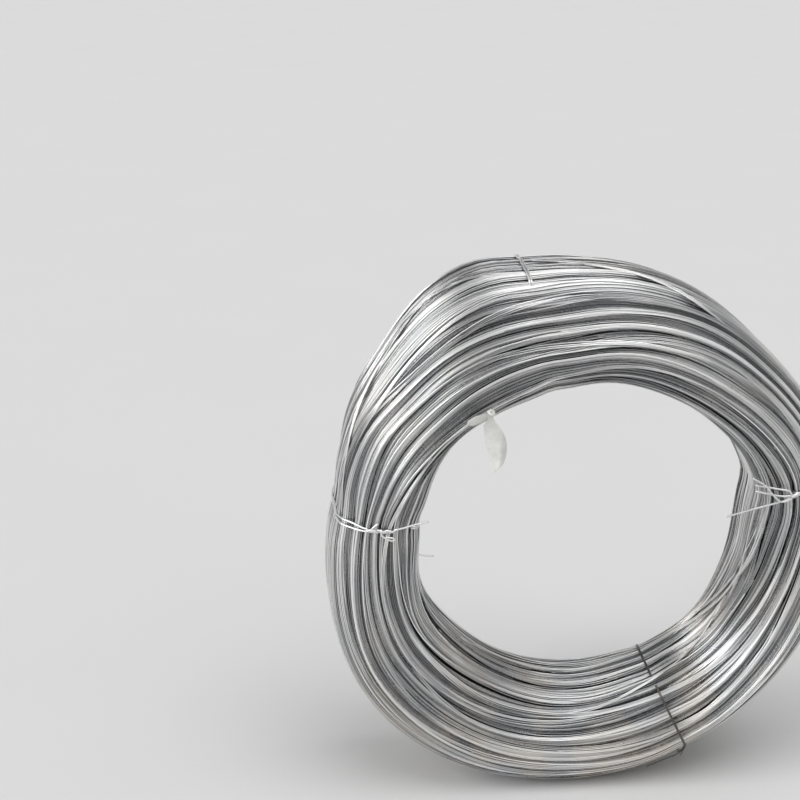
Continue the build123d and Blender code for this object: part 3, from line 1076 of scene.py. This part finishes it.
class COIL_OT_core(bpy.types.Operator):
    """Spins the bundle's inner body, which shows only as shadow in the gaps between the turns"""

    bl_idname = "coil.core"
    bl_label = "Inner body"

    def execute(self, context):
        winding = context.scene.coil_sizes.wound()
        bpy.ops.mesh.primitive_circle_add(vertices=CORE_SIDES, location=(0, 0, 0))
        piece = context.object
        piece.name = "inner_turns"
        radius, y, nr, ny = on_outline(np.arange(CORE_SIDES) * OUTLINE_LENGTH / CORE_SIDES)
        for vertex, r, axial in zip(piece.data.vertices, radius - CORE_DEPTH * nr, y - CORE_DEPTH * ny):
            vertex.co = (r * MM, axial * MM, 0)
        bpy.ops.object.mode_set(mode="EDIT")
        bpy.ops.mesh.select_all(action="SELECT")
        bpy.ops.mesh.spin(steps=CORE_STEPS, angle=2 * math.pi, center=(0, 0, 0), axis=(0, 1, 0))
        bpy.ops.mesh.select_all(action="SELECT")
        bpy.ops.mesh.remove_doubles(threshold=0.00001)
        bpy.ops.mesh.normals_make_consistent(inside=False)
        bpy.ops.object.mode_set(mode="OBJECT")
        middle = COIL_MIDDLE.z / MM + winding.raised
        for vertex in piece.data.vertices:
            x, y, z = vertex.co
            angle = math.atan2(z, x)
            radius = bent_radius(math.hypot(x, z) / MM, angle)
            axial = y / MM + COIL_MIDDLE.y / MM
            vertex.co = Vector((radius * math.cos(angle), axial, middle + radius * math.sin(angle))) * MM
        piece.data.shade_smooth()
        finish_piece(piece, "inner turns", "galvanized_wire", "wire_coil")
        return {"FINISHED"}


def tie_loop(winding, tie, side, tie_radius):
    """Places of one wire of a tie round the bundle, from its twist over the rim and the bore back to it."""
    angle = math.radians(tie["clock"])
    station = round(angle / STATION_ANGLE)
    near = winding.heights[[(station + shift) % STATIONS for shift in (-1, 0, 1)]].max(0)
    coarse = near.reshape(-1, TIE_CELLS).max(1)
    ways = taut(np.tile(coarse, 3), 10)[len(coarse): 2 * len(coarse)]
    middles = (np.arange(len(coarse)) + 0.5) * TIE_CELLS * CELL
    distance = np.linspace(tie["twist"] + TIE_GAP, tie["twist"] + OUTLINE_LENGTH - TIE_GAP, TIE_PLACES)
    height = np.interp(distance, middles, ways, period=OUTLINE_LENGTH) + tie_radius * TIE_SEAT
    low, high = tie["buried"]
    at = wrapped(distance, BURIED_START if low < 0 else 0)
    into = np.minimum(at - low, high - at)
    height = height - (height + CORE_DEPTH + 2 * tie_radius) * np.clip(into / BURIED_FADE, 0, 1)
    parted = tie["spread"] * np.sin(np.clip((distance - tie["twist"]) / PARTED_LENGTH, 0, 1) * math.pi)
    beside = side * (tie_radius * TIE_BESIDE + parted)
    return winding.place(angle + beside / on_outline(distance)[0], distance, height)


def tie_wires(winding, tie, tie_radius):
    """The two wires of a tie as lines in mm. Both legs of both wires run through the twist."""
    angle = math.radians(tie["clock"])
    radial = np.array((math.cos(angle), 0, math.sin(angle)))
    axis = np.array((0.0, 1.0, 0.0))
    tangent = np.array((-math.sin(angle), 0, math.cos(angle)))
    level = winding.level(angle, tie["twist"])
    foot = winding.place(angle, tie["twist"], level + TIE_FOOT * tie_radius)

    def places(steps):
        return [foot + out * radial + back * axis + along * tangent for out, back, along in steps]

    line = smooth_line(places(tie["line"]), TWIST_STEP)
    run = unit(np.gradient(line, axis=0))
    first = unit(np.cross(run, axis))
    second = np.cross(run, first)
    share = np.linspace(0, 1, len(line))
    width = tie_radius * TWIST_WIDTH * np.clip(0.35 + share * 8, 0, 1)

    def leg(phase, end):
        turned = 2 * math.pi * (tie["turns"] * share + phase)[:, None]
        twisted = line + width[:, None] * (first * np.cos(turned) + second * np.sin(turned))
        reach = np.linalg.norm(places(end)[0] - foot)
        kept = twisted[np.linalg.norm(twisted - foot, axis=1) < max(reach - TWIST_FREE, TWIST_FREE)]
        return np.concatenate([kept, places(end)])

    legs = [leg(phase, end) for phase, end in zip(TWIST_PHASES, tie["ends"])]
    wires = []
    for side, start, end in ((-1, *legs[:2]), (1, *legs[2:])):
        loop = tie_loop(winding, tie, side, tie_radius)
        wires.append(smooth_line(np.concatenate([start[::-1], loop, end]), TIE_STEP))
    return wires


class COIL_OT_ties(bpy.types.Operator):
    """Bends the four ties: each is two wires round the bundle with all their ends twisted together"""

    bl_idname = "coil.ties"
    bl_label = "Ties"

    def execute(self, context):
        sizes = context.scene.coil_sizes
        for tie in TIES:
            radius = tie["gauge"] * sizes.tie / MM / 2
            tubes = []
            for line in tie_wires(sizes.wound(), tie, radius):
                tubes.append((tube_rings(line, radius, TIE_SIDES), tie["tone"], even_run(line, TIE_STEP)))
            finish_piece(tube_mesh(tie["name"] + "_bent", tubes), "tie wire", "tie_wire", tie["name"])
        return {"FINISHED"}


def choose(*pieces):
    """Selects some pieces and nothing else. The first is the active one."""
    bpy.ops.object.select_all(action="DESELECT")
    for piece in pieces:
        piece.select_set(True)
    bpy.context.view_layer.objects.active = pieces[0]


def small_strip(name, columns):
    """A strip 2 mm high and wide that stands on edge round the origin, ready to be extruded downwards."""
    bpy.ops.mesh.primitive_grid_add(
        x_subdivisions=columns, y_subdivisions=1, size=2 * MM, rotation=(math.pi / 2, 0, 0)
    )
    strip = bpy.context.object
    bpy.ops.object.transform_apply(location=True, rotation=True, scale=True)
    strip.name = name
    return strip


def lowest_row(piece):
    """Selects the vertices of the lowest row, in edit mode, and gives their places."""
    mesh = bmesh.from_edit_mesh(piece.data)
    lowest = min(vertex.co.z for vertex in mesh.verts)
    for vertex in mesh.verts:
        vertex.select = vertex.co.z < lowest + ROW_TOLERANCE
    mesh.select_flush(True)
    mesh.select_flush_mode()
    bmesh.update_edit_mesh(piece.data)
    return [vertex.co.copy() for vertex in mesh.verts if vertex.select]


def draw_rows(piece, rows):
    """Extrudes the lowest row down through the rows and gives each its width, shift and bow."""
    bpy.ops.object.mode_set(mode="EDIT")
    bpy.ops.mesh.select_mode(type="VERT")
    for down, right, half, back in rows:
        row = lowest_row(piece)
        middle = sum(row, Vector()) / len(row)
        wide = max(place.x for place in row) - min(place.x for place in row)
        move = Vector((right * MM - middle.x, back * MM - middle.y, -down * MM - middle.z))
        bpy.ops.mesh.extrude_region_move(TRANSFORM_OT_translate={"value": move})
        scale = 2 * half * MM / wide
        bpy.ops.transform.resize(value=(scale, 1, 1), center_override=middle + move)
    bpy.ops.object.mode_set(mode="OBJECT")


def tag_leaf():
    """The leaf, with a fold along its right side and its edges rolled back. The knot is at the origin."""
    leaf = small_strip("tag_leaf", 6)
    draw_rows(leaf, LEAF_ROWS)
    for vertex in leaf.data.vertices:
        down = -vertex.co.z / MM
        from_fold = (vertex.co.x / MM - FOLD_PLACE + FOLD_LEAN * down) / FOLD_WIDTH
        fold = FOLD_DEPTH * math.exp(-(from_fold**2)) * min(1.0, down / 20)
        roll = ROLL_BACK * (vertex.co.x / MM - ROLL_MIDDLE) ** 2 * min(1.0, down / 30)
        vertex.co.y += (roll - fold) * MM
    return leaf


def tag_short_end(winding, angle, level, knot):
    """The short end, which lies on the turns beside the knot."""
    short = small_strip("tag_short_end", 4)
    draw_rows(short, [(SHORT_END_LENGTH * share, 0.0, half, 0.0) for share, half in SHORT_END_ROWS])
    first, last = SHORT_END_STEPS
    for vertex in short.data.vertices:
        across, share = vertex.co.x / MM, -vertex.co.z / SHORT_END_LENGTH / MM
        turned, moved = first + (last - first) * share
        over = level + SHORT_END_HEIGHT + SHORT_END_WAVE * math.sin(across / 2.5) * share
        spot = winding.place(angle + math.radians(turned), TAG_DISTANCE + moved + across, over)
        vertex.co = Vector(spot) * MM - knot
    return short


def knot_ring(tilt, radius, thickness):
    """One ring of the knot."""
    bpy.ops.mesh.primitive_torus_add(
        major_segments=24, minor_segments=10, major_radius=radius * MM, minor_radius=thickness * MM,
        rotation=(tilt, 0.9 * tilt, 0.4),
    )
    return bpy.context.object


def thicken(piece, thickness):
    """Gives a sheet its thickness and rounds it."""
    choose(piece)
    sheet = piece.modifiers.new("sheet", "SOLIDIFY")
    sheet.thickness = thickness
    sheet.offset = 0.0
    rounded = piece.modifiers.new("round", "SUBSURF")
    rounded.levels = 2
    for modifier in ("sheet", "round"):
        bpy.ops.object.modifier_apply(modifier=modifier)


class COIL_OT_tag(bpy.types.Operator):
    """Folds the bare tag: a leaf that hangs from its knot, and a short end beside it"""

    bl_idname = "coil.tag"
    bl_label = "Tag"

    def execute(self, context):
        sizes = context.scene.coil_sizes
        winding = sizes.wound()
        angle = math.radians(TAG_CLOCK)
        level = winding.level(angle, TAG_DISTANCE)
        knot = Vector(winding.place(angle, TAG_DISTANCE, level + KNOT_HEIGHT)) * MM
        leaf = tag_leaf()
        short = tag_short_end(winding, angle, level, knot)
        rings = [knot_ring(*ring) for ring in KNOT_RINGS]
        thicken(leaf, sizes.tag_thickness)
        thicken(short, sizes.tag_thickness)
        choose(leaf, short, *rings)
        bpy.ops.object.join()
        leaf.name = "tag"
        bpy.ops.object.mode_set(mode="EDIT")
        bpy.ops.mesh.select_all(action="SELECT")
        bpy.ops.mesh.normals_make_consistent(inside=False)
        bpy.ops.transform.translate(value=knot)
        bpy.ops.object.mode_set(mode="OBJECT")
        bpy.ops.object.transform_apply(location=True, rotation=True, scale=True)
        leaf.data.shade_smooth()
        finish_piece(leaf, "tag sheet", "tag", "label_tag")
        return {"FINISHED"}


def add_sun(name, towards, width, strength):
    """Adds a wide soft sun that shines from a direction. Its width is in degrees."""
    data = bpy.data.lights.new(name, "SUN")
    data.angle = math.radians(width)
    data.energy = strength
    lamp = add_object(name, data)
    lamp.location = 3 * Vector(towards)
    lamp.rotation_euler = Vector(towards).to_track_quat("Z", "Y").to_euler()


def add_surroundings(stage):
    """Grey surroundings: a bright horizon, a dark wall over it and a grey ceiling."""
    world = bpy.data.worlds.new("surroundings")
    world.use_nodes = True
    work = NodeWork(world.node_tree)
    direction = work.out("ShaderNodeTexCoord", "Generated")
    upward = work.out("ShaderNodeSeparateXYZ", 2, None, {0: direction})
    low = ((0.0, stage.horizon), (0.24, stage.horizon))
    high = ((0.31, stage.wall), (0.44, stage.wall), (0.72, stage.ceiling))
    strength = work.ramp(upward, *low, *high)
    air = work.out("ShaderNodeBackground", 0, None, {"Color": (1, 1, 1, 1), "Strength": strength})
    work.node("ShaderNodeOutputWorld", None, {0: air})
    bpy.context.scene.world = world


class COIL_OT_stage(bpy.types.Operator):
    """Sets the floor, the lamps, the grey surroundings and the camera"""

    bl_idname = "coil.stage"
    bl_label = "Stage"

    def execute(self, context):
        stage = context.scene.coil_stage
        bpy.ops.mesh.primitive_plane_add(size=FLOOR_SIZE, location=(0, 0, 0))
        floor = context.object
        floor.name = "floor"
        floor.data.materials.append(floor_finish(stage.floor))
        for name, towards, width, setting in LAMPS:
            add_sun(name, towards, width, getattr(stage, setting))
        add_surroundings(stage)
        data = bpy.data.cameras.new("view")
        data.lens = CAMERA_LENS
        data.sensor_width = 36
        camera = add_object("view", data)
        camera.location = CAMERA_PLACE
        camera.rotation_euler = [math.radians(turn) for turn in CAMERA_TURN]
        context.scene.camera = camera
        context.scene.view_settings.view_transform = "Standard"
        return {"FINISHED"}


class COIL_PT_panel(bpy.types.Panel):
    """Sidebar panel that makes the coil piece by piece"""

    bl_label = "Wire coil"
    bl_idname = "COIL_PT_panel"
    bl_space_type = "VIEW_3D"
    bl_region_type = "UI"
    bl_category = "Wire coil"

    def draw(self, context):
        for group in GROUPS:
            settings = getattr(context.scene, group)
            box = self.layout.box()
            for name in settings.__annotations__:
                box.prop(settings, name)
        for operator in OPERATORS:
            self.layout.operator(operator.bl_idname)


GROUPS = {"coil_sizes": CoilSizes, "coil_colours": CoilColours, "coil_stage": CoilStage}
OPERATORS = (COIL_OT_turns, COIL_OT_core, COIL_OT_ties, COIL_OT_tag, COIL_OT_stage)
CLASSES = (*GROUPS.values(), *OPERATORS, COIL_PT_panel)


def register():
    """Registers the classes and gives every scene its settings."""
    for made in CLASSES:
        bpy.utils.register_class(made)
    for name, group in GROUPS.items():
        setattr(bpy.types.Scene, name, bpy.props.PointerProperty(type=group))


def unregister():
    """Takes away what register adds."""
    for name in GROUPS:
        delattr(bpy.types.Scene, name)
    for made in reversed(CLASSES):
        bpy.utils.unregister_class(made)


def main():
    """Makes the whole coil and its stage."""
    register()
    bpy.ops.coil.turns()
    bpy.ops.coil.core()
    bpy.ops.coil.ties()
    bpy.ops.coil.tag()
    bpy.ops.coil.stage()


if __name__ == "__main__":
    main()
